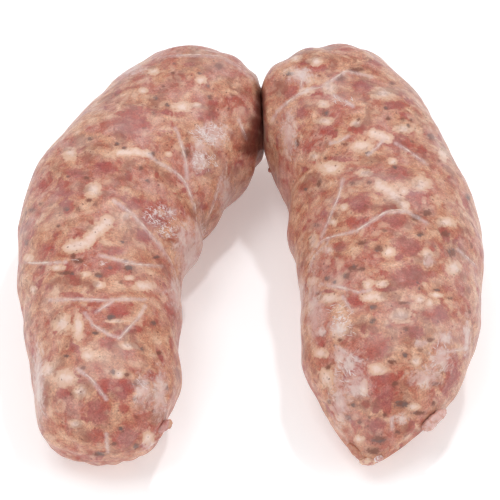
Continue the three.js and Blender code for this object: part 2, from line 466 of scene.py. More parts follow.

# %% [markdown]
# ## Marks that the photograph shows
#
# Most of the mince can be any mince. But a viewer knows this one by its large pieces: the fat
# in a slanting line, the dark peppercorns, the red lean patches. Each was read from the
# photograph, in pixels of its 500 x 500 frame, as a middle point and the half width and half
# height of the mark. A mark is then a soft egg of colour in the surface, so it has a real place
# and depth on the link, and looks right from any side.

# %% Fat, cream to white
FAT = [
    (93, 190, 9, 8), (182, 107, 10, 5), (197, 105, 4, 3), (154, 71, 6, 4), (201, 80, 6, 4),
    (143, 90, 5, 4), (70, 153, 8, 7), (169, 154, 4, 3), (126, 216, 6, 4), (28, 258, 6, 4),
    (62, 323, 9, 10), (78, 326, 6, 14), (81, 392, 8, 7), (66, 378, 12, 8), (119, 374, 7, 5),
    (128, 346, 9, 4), (144, 286, 12, 5), (129, 278, 5, 3), (86, 274, 5, 3), (33, 290, 4, 5),
    (58, 268, 8, 3), (99, 285, 6, 4), (48, 369, 8, 8), (75, 424, 7, 5), (149, 439, 6, 8),
    (88, 356, 7, 5), (116, 321, 12, 2), (383, 93, 12, 6), (330, 88, 7, 6), (323, 104, 6, 4),
    (325, 121, 10, 4), (361, 146, 12, 6), (314, 156, 6, 5), (330, 168, 13, 7), (404, 191, 5, 4),
    (422, 184, 10, 8), (446, 222, 11, 5), (393, 161, 5, 4), (364, 173, 9, 4), (313, 241, 5, 9),
    (316, 61, 7, 5), (296, 58, 6, 4), (344, 207, 4, 4), (444, 153, 6, 8), (356, 123, 6, 4),
    (333, 222, 5, 4), (306, 91, 8, 4), (404, 129, 10, 5), (427, 254, 7, 5), (389, 252, 7, 5),
    (368, 284, 6, 5), (382, 284, 7, 4), (373, 297, 16, 5), (420, 299, 5, 4), (430, 303, 4, 4),
    (436, 295, 7, 3), (454, 268, 9, 8), (401, 316, 12, 7), (340, 330, 10, 6), (329, 298, 12, 5),
    (312, 281, 8, 4), (416, 361, 6, 5), (359, 439, 6, 4), (413, 407, 7, 4), (321, 353, 9, 5),
    (378, 369, 10, 6), (364, 388, 4, 8), (326, 378, 8, 10),
]
FAT_STREAKS = [
    (7, [(70, 247), (86, 243), (95, 232), (107, 222)]),
    (4, [(119, 153), (134, 151), (149, 154)]),
    (5, [(373, 133), (388, 138)]),
    (6, [(379, 184), (392, 193), (404, 206)]),
]

# %% Lean meat, red to mauve
LEAN = [
    (133, 120, 16, 17), (106, 168, 12, 7), (75, 173, 10, 5), (42, 184, 6, 6), (63, 193, 14, 4),
    (136, 204, 10, 6), (157, 214, 18, 14), (143, 236, 9, 7), (113, 251, 10, 5), (207, 115, 10, 6),
    (26, 227, 4, 4), (129, 176, 4, 6), (50, 249, 6, 4), (75, 281, 6, 6), (113, 266, 12, 6),
    (119, 310, 11, 8), (108, 343, 10, 7), (119, 334, 7, 4), (71, 295, 12, 3), (171, 310, 5, 14),
    (172, 343, 3, 7), (98, 412, 12, 14), (96, 436, 10, 8), (126, 437, 14, 10), (123, 389, 12, 14),
    (103, 388, 8, 12), (63, 394, 8, 5), (153, 376, 8, 6), (363, 86, 10, 9), (290, 91, 10, 6),
    (326, 131, 10, 5), (356, 129, 10, 5), (399, 144, 16, 8), (422, 151, 6, 7), (339, 159, 12, 3),
    (361, 202, 12, 10), (356, 222, 12, 6), (399, 221, 12, 8), (406, 246, 16, 10), (303, 113, 8, 6),
    (318, 68, 10, 4), (396, 105, 14, 5), (399, 173, 12, 8), (339, 246, 8, 5), (376, 347, 14, 14),
    (410, 277, 20, 12), (424, 274, 12, 4), (356, 301, 9, 7), (387, 289, 12, 3), (416, 333, 9, 7),
    (436, 313, 14, 10), (384, 387, 14, 16), (387, 407, 5, 10), (452, 372, 8, 22), (378, 424, 8, 6),
    (329, 292, 6, 3),
]

# %% Pepper, herbs and dark shreds
DARK = [
    (90, 139, 3.5, 3), (117, 144, 3, 2.5), (124, 148, 3, 2), (167, 105, 3, 3), (210, 97, 3, 3),
    (219, 66, 5, 4), (200, 73, 3, 2), (173, 73, 3, 2), (208, 86, 2, 2), (163, 86, 2, 2),
    (116, 94, 3, 2), (118, 102, 2, 2), (93, 105, 2, 2), (78, 209, 3, 3), (31, 210, 5, 3),
    (40, 204, 3, 2), (26, 242, 3, 4), (26, 224, 3, 2), (58, 226, 3, 2), (66, 209, 4, 3),
    (89, 200, 3, 2), (86, 178, 4, 2), (141, 168, 3, 2.5), (148, 181, 3, 2.5), (153, 154, 3, 3),
    (157, 160, 2.5, 2.5), (186, 153, 5, 5), (229, 109, 2, 2), (154, 113, 2.5, 2.5), (156, 98, 3, 3),
    (122, 242, 2.5, 2), (73, 256, 3, 3), (78, 261, 7, 3), (125, 261, 3, 2), (129, 268, 6, 3),
    (157, 257, 4, 2), (99, 275, 5, 3), (154, 323, 3.5, 3), (96, 333, 4, 2), (111, 317, 5, 3),
    (113, 372, 3.5, 3), (127, 375, 3.5, 3), (140, 383, 9, 4), (159, 353, 4, 2), (143, 349, 3, 3),
    (167, 388, 3, 3.5), (135, 399, 2.5, 2.5), (154, 411, 2.5, 2.5), (136, 447, 4, 4),
    (121, 429, 2.5, 2.5), (99, 454, 8, 3), (114, 444, 4, 2), (66, 356, 4, 2), (40, 267, 3, 2),
    (66, 273, 9, 2.5), (83, 368, 3, 3), (325, 113, 4, 4), (359, 119, 2.5, 2.5), (388, 118, 3, 3),
    (403, 119, 2.5, 2.5), (412, 120, 3, 2), (325, 158, 2.5, 2.5), (297, 143, 2.5, 5), (432, 136, 5, 5),
    (395, 167, 3, 3), (352, 183, 4, 2.5), (369, 182, 3, 2.5), (311, 180, 1.5, 1.5), (305, 189, 3, 2),
    (319, 183, 3, 6), (427, 213, 6, 4), (416, 217, 6, 4), (421, 234, 4, 3), (446, 234, 5, 4),
    (469, 197, 4, 5), (362, 243, 5, 3), (379, 249, 5, 4), (316, 225, 4, 3), (290, 74, 5, 3),
    (356, 70, 8, 3), (341, 78, 6, 4), (393, 83, 4, 2), (386, 108, 3, 2), (345, 144, 4, 2),
    (368, 153, 3, 2), (439, 161, 3, 2), (452, 252, 6, 6), (353, 268, 5, 4), (361, 269, 5, 2),
    (327, 267, 3, 1.5), (334, 282, 3, 2), (327, 278, 4, 3), (347, 276, 5, 4), (317, 293, 3, 2),
    (420, 288, 2, 2), (436, 290, 5, 1.5), (480, 272, 2, 2), (373, 307, 5, 3), (373, 321, 4, 3),
    (406, 329, 4, 3), (404, 303, 7, 2), (451, 298, 3, 2), (430, 340, 4, 3), (340, 340, 3, 2),
    (328, 367, 3, 3), (329, 402, 3, 3), (348, 418, 4.5, 3.5), (360, 422, 2.5, 2.5), (385, 415, 2.5, 2.5),
    (398, 432, 3.5, 2.5), (402, 404, 8, 5), (434, 404, 3, 3), (419, 413, 8, 2), (436, 384, 6, 2),
    (405, 355, 4, 3), (392, 362, 5, 3), (373, 451, 8, 4), (379, 440, 9, 4), (353, 405, 3.5, 3),
    (395, 384, 4, 3), (470, 312, 2, 3),
]

# %% Milky film: fat smeared under the casing and casing that has lifted, with a painted highlight where the casing shines and painted reflections along the rims
MILK_AND_SHEEN = [
    (209, 132, 16, 8), (219, 142, 7, 6), (200, 146, 9, 7), (172, 212, 6, 5), (182, 231, 5, 8),
    (181, 249, 4, 8), (199, 236, 6, 26), (143, 389, 11, 16),
    (215, 134, 16, 12), (199, 161, 8, 12), (429, 261, 6, 5), (425, 378, 16, 10), (441, 359, 12, 14),
    (445, 338, 9, 7), (421, 343, 7, 5), (350, 365, 14, 12), (356, 385, 14, 14), (340, 356, 10, 8),
    (327, 249, 6, 5), (320, 332, 6, 5), (402, 419, 7, 5), (160, 395, 8, 26), (38, 385, 6, 42),
    (150, 446, 8, 5), (340, 400, 10, 26), (300, 75, 14, 8), (125, 70, 20, 7), (60, 130, 12, 16),
    (337, 328, 9, 8), (467, 340, 4, 24), (300, 300, 5, 30), (190, 262, 13, 34), (176, 292, 8, 20),
    (186, 245, 13, 26), (314, 305, 8, 32), (289, 135, 8, 22), (226, 196, 9, 24),
]
# Painted glints: where the casing is crumpled, white squiggles stand in for highlights; the same marks also
# bump the clear coat.
CRINKLE_GLINTS = [
    (157, 214, 17, 13), (168, 230, 12, 9), (215, 134, 18, 13), (199, 161, 8, 14), (341, 324, 13, 11),
]
# Painted shade: the crease between the links is painted dark brown, where shade falls.
CREASE_SHADE = [
    (261, 98, 6, 13), (260, 110, 8, 14), (257, 124, 12, 15), (253, 138, 15, 15), (251, 149, 15, 12),
]

# %% Threads and folds of the casing
# Each has its half thickness in millimetres, and the pixels that it runs through.
THREADS = [
    (0.30, [(149, 155), (159, 163), (174, 171), (186, 183), (192, 199), (196, 212), (197, 229), (196, 259)]),
    (0.22, [(176, 128), (182, 146), (186, 163), (187, 179)]),
    (0.18, [(159, 56), (174, 55), (199, 55), (221, 56), (239, 66), (252, 78)]),
    (0.18, [(221, 179), (214, 204), (206, 224)]),
    (0.16, [(239, 120), (247, 139)]),
    (0.26, [(114, 201), (133, 214), (146, 229), (157, 242), (167, 257)]),
    (0.26, [(24, 262), (43, 263), (66, 262)]),
    (0.18, [(99, 255), (126, 262), (146, 265), (166, 266)]),
    (0.18, [(50, 300), (75, 299), (103, 300), (126, 299), (146, 299)]),
    (0.15, [(96, 312), (113, 301)]),
    (0.17, [(85, 313), (93, 325), (108, 334), (119, 338), (126, 331), (138, 318), (146, 305)]),
    (0.15, [(159, 243), (172, 263), (179, 282)]),
    (0.13, [(164, 293), (173, 288), (175, 281)]),
    (0.15, [(78, 369), (93, 381), (106, 399)]),
    (0.15, [(106, 434), (108, 452)]),
    (0.26, [(272, 120), (278, 110), (293, 98), (306, 90), (323, 86), (338, 76), (346, 71), (372, 76)]),
    (0.26, [(306, 259), (320, 242), (333, 236), (356, 231), (371, 221), (386, 212), (407, 211), (427, 223)]),
    (0.18, [(343, 179), (338, 196), (328, 221), (321, 237)]),
    (0.13, [(348, 136), (339, 141), (330, 143)]),
    (0.13, [(384, 139), (376, 148), (368, 154)]),
    (0.17, [(396, 143), (414, 154), (427, 164)]),
    (0.13, [(334, 95), (353, 106)]),
    (0.17, [(303, 71), (301, 90)]),
    (0.17, [(308, 271), (314, 255), (327, 243)]),
    (0.17, [(320, 284), (340, 287), (358, 292), (370, 290)]),
    (0.15, [(457, 248), (468, 258), (478, 267)]),
    (0.17, [(336, 346), (359, 361)]),
    (0.17, [(441, 353), (468, 348)]),
    (0.13, [(392, 418), (392, 428)]),
    (0.13, [(343, 297), (352, 312)]),
]
FOLD_REACH = 3.6
print(len(FAT) + len(FAT_STREAKS), "fat,", len(LEAN), "lean,", len(DARK), "dark,", len(MILK_AND_SHEEN), "milky")

# %% Marks become fields on the skin
# A mark starts at the skin within a few pixels of its middle, and reaches away from the camera
# by a multiple of its own size: further in the crease, where the skin falls off steeply.
NOTHING = -1.0
DEEP = 3.0
STEEP = 9.0
CATCH = 3
FACING = -0.05


def picture_view(points):
    """Where points of the model show in the photograph, and how far from the camera, in pixels."""
    from_eye = points - np.array(EYE)
    depth = -from_eye @ np.array(TOWARDS)
    x = FRAME_WIDTH / 2 + FOCAL_PIXELS * (from_eye @ np.array(PICTURE_RIGHT)) / depth
    y = FRAME_WIDTH / 2 - FOCAL_PIXELS * (from_eye @ np.array(PICTURE_UP)) / depth
    return x, y, depth / MM * PIXELS_PER_MM


def mark_field(view, facing, spots, streaks=(), reach=DEEP):
    """One minus the distance to the nearest mark, where 1 is its middle and 0 its edge."""
    x, y, depth = view
    field = np.full(len(x), NOTHING)
    stamps = list(spots)
    for half, path in streaks:
        for start, end in zip(path, path[1:]):
            steps = max(3, round(math.dist(start, end) / half * 2))
            for share in np.linspace(0, 1, steps):
                stamps.append((*[a + (b - a) * share for a, b in zip(start, end)], half, half))
    for middle_x, middle_y, half_width, half_height in stamps:
        near = facing & (np.abs(x - middle_x) < CATCH) & (np.abs(y - middle_y) < CATCH)
        if not near.any():
            continue
        level = depth[near].min()
        across = (x - middle_x) / half_width
        down = (y - middle_y) / half_height
        deep = (depth - level) / (reach * max(half_width, half_height))
        field = np.maximum(field, 1 - np.sqrt(across**2 + down**2 + deep**2))
    return field


def mark_skin(piece):
    mesh = piece.data
    points = read_points(mesh)
    towards_eye = np.array(EYE) - points
    towards_eye /= np.linalg.norm(towards_eye, axis=1)[:, None]
    facing = np.einsum("ij,ij->i", read_points(mesh, "normal"), towards_eye) > FACING
    view = picture_view(points)
    folds = [(FOLD_REACH, path) for _, path in THREADS]
    for name, spots, streaks in (
        ("fat", FAT, FAT_STREAKS), ("lean", LEAN, ()), ("dark", DARK, ()), ("milk_and_sheen", MILK_AND_SHEEN, ()),
        ("crinkle_glint", CRINKLE_GLINTS, ()), ("crease", CREASE_SHADE, ()), ("fold", [], folds),
    ):
        field = mark_field(view, facing, spots, streaks, STEEP if name == "crease" else DEEP)
        field[~facing] = NOTHING
        mesh.attributes.new(name, "FLOAT", "POINT").data.foreach_set("value", field.astype(np.float32))
    print(piece.name, "marked")

# %% [markdown]
# ## The mince under its casing
#
# Seen close, the surface is a mosaic of soft chips of meat between one and five millimetres
# across. A picture could be wrapped round it, but a pattern in space has no seams and goes on
# round the back, so the colours are mixed from warped cells and noises in the object's own space.
# The listed marks are added with ragged edges, then a milky veil, then the wet gloss of the
# casing as a clear coat.

# %% Colours of meat, fat and pepper
def linear(code):
    """A web colour, such as C48A72, as the linear colour that a shader works in."""
    channels = [int(code[i:i + 2], 16) / 255 for i in (0, 2, 4)]
    return (*[c / 12.92 if c <= 0.04045 else ((c + 0.055) / 1.055) ** 2.4 for c in channels], 1.0)


UMBER = linear("985A4A")
RUST = linear("AE644F")
TAN = linear("C08469")
SAND = linear("D09C7F")
STRAW = linear("DFB69C")
ROSE = linear("B87268")
LEAN_RED = linear("A7463B")
MAUVE = linear("9E5250")
BLUSH = linear("C58E84")
CREAM = linear("DEB59B")
FAT_WHITE = linear("EDD1C3")
BROWN = linear("7C4A3B")
SLATE = linear("6B5652")
HAZE_BROWN = linear("8B5748")
LAVENDER = linear("D8BFBB")
# Pale colours for the milky film, also used for painted highlights and painted rim reflections.
MILK_SHEEN_PINK = linear("D5B0A8")
MILK_SHEEN_WHITE = linear("E3CEC6")
FILM_WHITE = linear("EADCD8")
THREAD_LIGHT = linear("E2C8BB")
THREAD_DARK = linear("CDA492")
# Painted shade for the crease between the links.
CREASE_SHADE_BROWN = linear("60281F")
FLAP_PINK = linear("D9AFA6")
FLAP_TAN = linear("C99484")

# %% Small helpers for materials
def new_material(name):
    material = bpy.data.materials.new(name)
    material.use_nodes = True
    return material, material.node_tree, material.node_tree.nodes["Principled BSDF"]


def place_in_mm(tree):
    return calc_vector(tree, "SCALE", add_node(tree, "ShaderNodeTexCoord").outputs["Object"], 1 / MM)


def blend_colours(tree, share, first, second):
    node = add_node(tree, "ShaderNodeMix", {"data_type": "RGBA", "clamp_factor": True})
    feed(tree, node.inputs["Factor"], share)
    feed(tree, node.inputs[6], first)
    feed(tree, node.inputs[7], second)
    return node.outputs[2]


def lay(tree, under, top, share, strength):
    """Lays one colour over another, as strongly as there is of it at a place."""
    return blend_colours(tree, times(tree, share, strength), under, top)


def ramp(tree, value, stops):
    node = add_node(tree, "ShaderNodeValToRGB", Fac=value)
    elements = node.color_ramp.elements
    elements[0].position, elements[0].color = stops[0]
    elements[1].position, elements[1].color = stops[-1]
    for position, colour in stops[1:-1]:
        elements.new(position).color = colour
    return node.outputs["Color"]


def step_between(tree, value, low, high):
    node = add_node(tree, "ShaderNodeMapRange", {"interpolation_type": "SMOOTHSTEP"}, Value=value)
    node.inputs["From Min"].default_value = low
    node.inputs["From Max"].default_value = high
    return node.outputs["Result"]


def scattered(tree, place, size, rarity, radius, softness):
    """Soft dots in some of the cells: how much of one there is at a place, from 0 to 1."""
    cell = add_node(tree, "ShaderNodeTexVoronoi", {"feature": "F1"}, Vector=place, Scale=1.0 / size)
    numbers = add_node(tree, "ShaderNodeSeparateColor", Color=cell.outputs["Color"]).outputs
    chosen = calc(tree, "GREATER_THAN", numbers[0], rarity)
    own_radius = times_plus(tree, numbers[1], radius, radius * 0.5)
    edge = over(tree, minus(tree, own_radius, cell.outputs["Distance"]), softness)
    return times(tree, chosen, calc(tree, "ADD", edge, 0.5, clamp=True))


def stirred(tree, place, scale, reach, detail=2):
    """The place, carried off by a noise, so that nothing that reads it has a straight edge."""
    swirl = noise(tree, place, scale, detail, 0.55, colour=True)
    back = calc_vector(tree, "ADD", place, (-reach / 2,) * 3)
    return calc_vector(tree, "MULTIPLY_ADD", swirl, (reach,) * 3, back)


def shifted(tree, place, offset):
    return calc_vector(tree, "ADD", place, offset)


def thin_lines(tree, place, scale, width):
    """Fine lines that wander: where a noise crosses its middle value."""
    off_line = calc(tree, "ABSOLUTE", minus(tree, noise(tree, place, scale), 0.5))
    return step_between(tree, off_line, width, 0.0)


def read_mark(tree, name):
    return add_node(tree, "ShaderNodeAttribute", {"attribute_name": name}).outputs["Fac"]


def frayed_mark(tree, name, fray, amount, low, high):
    """A listed mark with a frayed edge: how much of it there is at a place."""
    return step_between(tree, times_plus(tree, fray, amount, read_mark(tree, name)), low, high)

# %% [markdown]
# The paste is a ramp of browns read by one noise, with redder regions mixed in. Lean meat and fat
# go over it: both where they were seen, and scattered by chance so that the far side has them too.

# %% Paste, lean meat and fat
def paste_colour(tree, bent, frayed, elsewhere):
    tone = noise(tree, calc_vector(tree, "MULTIPLY", frayed, (0.75, 1.1, 1.0)), 0.34, 5, 0.56)
    paste = ramp(tree, tone, [(0.22, UMBER), (0.34, RUST), (0.46, TAN), (0.58, SAND), (0.75, STRAW)])
    red_tone = noise(tree, elsewhere, 0.34, 4, 0.6)
    red_paste = ramp(tree, red_tone, [(0.3, MAUVE), (0.43, LEAN_RED), (0.52, ROSE), (0.64, BLUSH)])
    redness = step_between(tree, noise(tree, bent, 0.13, 3, 0.6), 0.42, 0.62)
    return lay(tree, paste, red_paste, redness, 0.7), tone, red_tone


def add_lean(tree, colour, place, bent, ragged, red_tone):
    """Lays the red meat on, and tells how free of it a place is."""
    chance = noise(tree, shifted(tree, bent, (7.0, 71.0, 13.0)), 0.2, 2, 0.5)
    seen = frayed_mark(tree, "lean", ragged, 1.8, -0.3, 0.35)
    share = calc(tree, "MAXIMUM", step_between(tree, chance, 0.6, 0.68), seen)
    meat = blend_colours(tree, step_between(tree, noise(tree, place, 0.2, 1), 0.4, 0.6), LEAN_RED, MAUVE)
    meat = blend_colours(tree, step_between(tree, red_tone, 0.5, 0.75), meat, ROSE)
    return lay(tree, colour, meat, share, 0.82), minus(tree, 1.0, times(tree, seen, 0.7))


def add_fat(tree, colour, place, frayed, ragged, off_lean):
    morsels = scattered(tree, stirred(tree, place, 0.5, 3.2, 3), 3.2, 0.74, 0.34, 0.4)
    colour = lay(tree, colour, CREAM, times(tree, morsels, off_lean), 0.42)
    grit = times_plus(tree, noise(tree, place, 2.4, 3, 0.8), 1.65, 0.18)
    colour = calc_vector(tree, "SCALE", colour, grit)
    grains = scattered(tree, frayed, 1.9, 0.62, 0.34, 0.3)
    colour = lay(tree, colour, STRAW, times(tree, grains, off_lean), 0.42)
    crumbs = times(tree, scattered(tree, frayed, 4.2, 0.84, 0.26, 0.3), 0.6)
    share = calc(tree, "MAXIMUM", crumbs, frayed_mark(tree, "fat", ragged, 1.6, -0.25, 0.15))
    whiteness = frayed_mark(tree, "fat", ragged, 1.6, 0.15, 0.85)
    return lay(tree, colour, blend_colours(tree, whiteness, CREAM, FAT_WHITE), share, 0.86)

# %% [markdown]
# Pepper and dark shreds are hard little marks with a brown haze round them, where their juice has
# stained the meat. Freckles and specks, much smaller, keep the large soft patches from looking
# painted.

# %% Pepper, stains and specks
def add_pepper(tree, colour, place, frayed, elsewhere):
    freckles = scattered(tree, frayed, 1.25, 0.72, 0.2, 0.25)
    colour = lay(tree, colour, UMBER, freckles, 0.45)
    shred = minus(tree, noise(tree, frayed, 1.1, 3, 0.7), 0.5)
    haze = times(tree, frayed_mark(tree, "dark", shred, 1.5, -0.9, 0.5), 0.45)
    bruise = step_between(tree, noise(tree, elsewhere, 0.16, 4, 0.7), 0.5, 0.66)
    stain = calc(tree, "MAXIMUM", haze, times(tree, bruise, 0.55))
    colour = blend_colours(tree, stain, colour, HAZE_BROWN)
    pepper = times(tree, scattered(tree, frayed, 3.6, 0.72, 0.11, 0.12), 0.8)
    share = calc(tree, "MAXIMUM", pepper, frayed_mark(tree, "dark", shred, 2.2, -0.05, 0.5))
    dark = blend_colours(tree, step_between(tree, noise(tree, place, 0.35, 1), 0.5, 0.62), BROWN, SLATE)
    colour = lay(tree, colour, dark, share, 0.85)
    specks = scattered(tree, stirred(tree, place, 1.5, 0.8), 1.1, 0.72, 0.16, 0.11)
    return lay(tree, colour, BROWN, specks, 0.8)

# %% [markdown]
# The casing is almost clear, but fat smeared on its inside and folds in it look milky, and some
# milky patches are painted highlights and painted reflections along the rims. Where it is crumpled
# it shows white squiggles, which are painted glints. Between the links no light comes back, so the
# crease is painted shade: a dark wet brown.

# %% The casing's own colour
def add_casing(tree, colour, bent, frayed, elsewhere, ragged):
    """Lays the film on, with painted glints on its crumples and painted shade in the crease, and tells where
    its squiggles are.
    """
    veil = step_between(tree, noise(tree, bent, 0.07, 3, 0.6), 0.45, 0.75)
    colour = lay(tree, colour, LAVENDER, veil, 0.24)
    fibres = noise(tree, calc_vector(tree, "MULTIPLY", frayed, (1.0, 0.35, 1.0)), 1.3, 3, 0.7)
    fibres = minus(tree, fibres, 0.5)
    # Partly real milky film, partly a painted highlight and painted reflections along the rims.
    milk_and_sheen = times_plus(tree, fibres, 2.4, times_plus(tree, ragged, 1.6, read_mark(tree, "milk_and_sheen")))
    whiteness = step_between(tree, noise(tree, bent, 0.3, 3), 0.42, 0.6)
    milk_and_sheen_colour = blend_colours(tree, whiteness, MILK_SHEEN_PINK, MILK_SHEEN_WHITE)
    colour = lay(tree, colour, milk_and_sheen_colour, step_between(tree, milk_and_sheen, -0.4, 0.9), 0.76)
    colour = lay(tree, colour, LAVENDER, frayed_mark(tree, "fold", fibres, 1.2, 0.0, 1.1), 0.7)
    # Painted glints: white squiggles on the crumpled casing, which also bump the clear coat.
    crinkle_glint = frayed_mark(tree, "crinkle_glint", ragged, 0.8, -0.1, 0.5)
    patches = step_between(tree, noise(tree, elsewhere, 0.6, 2), 0.38, 0.56)
    glint_squiggle = times(tree, crinkle_glint, thin_lines(tree, frayed, 0.95, 0.075), patches)
    colour = lay(tree, colour, FILM_WHITE, glint_squiggle, 0.9)
    # Painted shade: a dark brown laid over the crease between the links.
    crease = frayed_mark(tree, "crease", ragged, 0.5, -0.15, 0.75)
    return lay(tree, colour, CREASE_SHADE_BROWN, crease, 0.9), glint_squiggle

# %% [markdown]
# All layers meet in one material. Wet meat under a wet skin shines twice, so the base has a rough,
# weak gloss with its own bumps, and a thin clear coat with finer bumps lies over it.

# %% The mince material
def mince_material(name):
    material, tree, shader = new_material(name)
    place = place_in_mm(tree)
    bent = stirred(tree, place, 0.2, 3.6)
    frayed = stirred(tree, bent, 0.9, 1.2, 3)
    elsewhere = shifted(tree, frayed, (31.0, 17.0, 53.0))
    ragged = minus(tree, noise(tree, bent, 0.75, 4, 0.65), 0.5)

    colour, tone, red_tone = paste_colour(tree, bent, frayed, elsewhere)
    colour, off_lean = add_lean(tree, colour, place, bent, ragged, red_tone)
    colour = add_fat(tree, colour, place, frayed, ragged, off_lean)
    colour = add_pepper(tree, colour, place, frayed, elsewhere)
    colour, glint_squiggle = add_casing(tree, colour, bent, frayed, elsewhere, ragged)

    height = times_plus(tree, tone, 1.2, noise(tree, place, 0.9, 4, 0.65))
    bump = add_node(tree, "ShaderNodeBump", Height=height, Strength=0.5, Distance=0.3 * MM)
    film_height = plus(tree, glint_squiggle, noise(tree, place, 1.0, 5, 0.7))
    film = add_node(tree, "ShaderNodeBump", Height=film_height, Strength=0.6, Distance=0.3 * MM)
    set_inputs(
        tree, shader, Base_Color=colour, Roughness=times_plus(tree, noise(tree, place, 0.5, 2), 0.25, 0.32),
        Subsurface_Weight=0.1, Subsurface_Radius=(1.0, 0.4, 0.3), Subsurface_Scale=1.0 * MM,
        Coat_Weight=0.3, Coat_Roughness=0.1, Coat_IOR=1.4, Specular_IOR_Level=0.25,
        Normal=bump.outputs[0], Coat_Normal=film.outputs[0],
    )
    return material


MINCE_SKIN = mince_material("mince_in_casing")
print("material", MINCE_SKIN.name, "has", len(MINCE_SKIN.node_tree.nodes), "nodes")

# %% [markdown]
# ## Both links are filled
#
# Each link's tree gets its sizes as inputs, in millimetres, and its skin comes out in metres. The
# pair is then moved so that its footprint is centred, as the solid's is, and marked.

# %% Fill the two links
def fill_link(name, link):
    line, length = centre_line(name, link)
    values = {**PLEATS, **PRESS, **MINCE, "Press side": link["side"], "Skin scale": MM}
    values |= {"Segments": SEGMENTS, "Material": MINCE_SKIN}
    piece = run_tree(name, line, casing_tree(f"{name} casing", link, length), values)
    print(name, len(piece.data.vertices), "points", len(piece.data.polygons), "faces")
    return piece


def volume_of(mesh):
    corners = read_points(mesh)
    return sum(
        corners[p.vertices[0]].dot(np.cross(corners[p.vertices[i]], corners[p.vertices[i + 1]]))
        for p in mesh.polygons for i in range(1, len(p.vertices) - 1)
    ) / 6


DRAFT_CENTRE = Vector((-0.289, 2.825, 0)) * MM
left_link = fill_link("left_link", LEFT_LINK)
right_link = fill_link("right_link", RIGHT_LINK)
for link in (left_link, right_link):
    link.data.transform(Matrix.Translation(-DRAFT_CENTRE))
    mark_skin(link)
    print(link.name, "volume", round(volume_of(link.data) * 1e6, 1), "cm3")

# %% [markdown]
# ## Threads and folds that stand proud
#
# Where the casing was wrinkled or a strand of it lies double, a fine pale thread runs over the
# link. Painted lines would look flat from the side, so each is a real, very thin tube. Its path
# is read from the photograph, dropped on to the skin along the camera's line of sight, and sunk
# by a share of its thickness, so that only its back shows and its thin stretches dip under.

# %% Drop a path from the picture on to the skin
def skin_tree(pieces):
    corners, faces = [], []
    for piece in pieces:
        first = len(corners)
        corners += [vertex.co.copy() for vertex in piece.data.vertices]
        faces += [[first + i for i in polygon.vertices] for polygon in piece.data.polygons]
    return BVHTree.FromPolygons(corners, faces)


SKIN = skin_tree([left_link, right_link])
# The waver is in pixels, and so are the lengths that its two waves go by.
SUNK = 0.62
WAVER = 0.5
WAVER_ACROSS = 5
WAVER_DOWN = 7


def on_skin(x, y):
    middle = FRAME_WIDTH / 2
    across = PICTURE_RIGHT * (x - middle) / FOCAL_PIXELS
    down = PICTURE_UP * (middle - y) / FOCAL_PIXELS
    place, normal, _, _ = SKIN.ray_cast(EYE, (across + down - TOWARDS).normalized())
    return place, normal


def thread_points(path, number, sunk):
    dense, travelled = bend_through([(x, y, 0) for x, y in path], steps=60)
    points = []
    for stop in np.arange(0, travelled[-1], 1.0):
        x, y = [np.interp(stop, travelled, dense[:, i]) for i in (0, 1)]
        x += WAVER * math.sin(stop / WAVER_ACROSS + number)
        y += WAVER * math.cos(stop / WAVER_DOWN + 2 * number)
        place, normal = on_skin(x, y)
        if place is not None:
            points.append(place - normal * sunk)
    return points


def thread_lines(name, threads):
    corners, edges, thickness = [], [], []
    for number, (thick, path) in enumerate(threads):
        points = thread_points(path, number, thick * SUNK * MM)
        first = len(corners)
        corners += points
        edges += [(first + i, first + i + 1) for i in range(len(points) - 1)]
        thickness += [thick * MM] * len(points)
    mesh = bpy.data.meshes.new(name)
    mesh.from_pydata(corners, edges, [])
    mesh.attributes.new("thickness", "FLOAT", "POINT").data.foreach_set("value", thickness)
    return mesh

# %% The tree for threads
def thread_tree():
    tree, entry, leave = new_geometry_tree("Casing threads")
    unevenness = add_input(tree, entry, "Unevenness", "Float")
    knot_spacing = add_input(tree, entry, "Knot spacing", "Float")
    sides = add_input(tree, entry, "Sides", "Int")
    material = add_input(tree, entry, "Material", "Material")
    line = add_node(tree, "GeometryNodeMeshToCurve", Mesh=entry.outputs["Geometry"])
    along = add_node(tree, "GeometryNodeSplineParameter").outputs["Factor"]
    taper = calc(tree, "POWER", calc(tree, "SINE", times(tree, along, math.pi)), 0.5)
    here = add_node(tree, "GeometryNodeInputPosition").outputs[0]
    beads = noise(tree, here, over(tree, 1.0, knot_spacing), 2.0)
    beads = times_plus(tree, minus(tree, beads, 0.5), unevenness, 1.0)
    radius = times(tree, read_field(tree, "thickness"), taper, beads)
    ring = add_node(tree, "GeometryNodeCurvePrimitiveCircle", Resolution=sides)
    tube = add_node(
        tree, "GeometryNodeCurveToMesh",
        Curve=line.outputs[0], Profile_Curve=ring.outputs[0], Scale=radius, Fill_Caps=True,
    )
    finish_tree(tree, tube.outputs[0], leave, material)
    return tree


def film_material(name, light, dark):
    material, tree, shader = new_material(name)
    clouds = step_between(tree, noise(tree, place_in_mm(tree), 0.8, 3), 0.35, 0.65)
    colour = blend_colours(tree, clouds, dark, light)
    set_inputs(tree, shader, Base_Color=colour, Roughness=0.35, Coat_Weight=0.5, Coat_Roughness=0.12)
    return material


THREAD_FILM = film_material("casing_thread", THREAD_LIGHT, THREAD_DARK)
casing_threads = run_tree(
    "casing_threads", thread_lines("thread_paths", THREADS), thread_tree(),
    {"Unevenness": 2.6, "Knot spacing": 1.5 * MM, "Sides": 7, "Material": THREAD_FILM},
)
print("threads", len(casing_threads.data.polygons), "faces")

# %% [markdown]
# Where the casing is crumpled, dozens of short hair-thin wrinkles catch the light. Nobody can
# place those one by one, so each crumpled zone says how many it has and which way they run, and
# a seeded chance does the rest. The threads' tree makes these too.

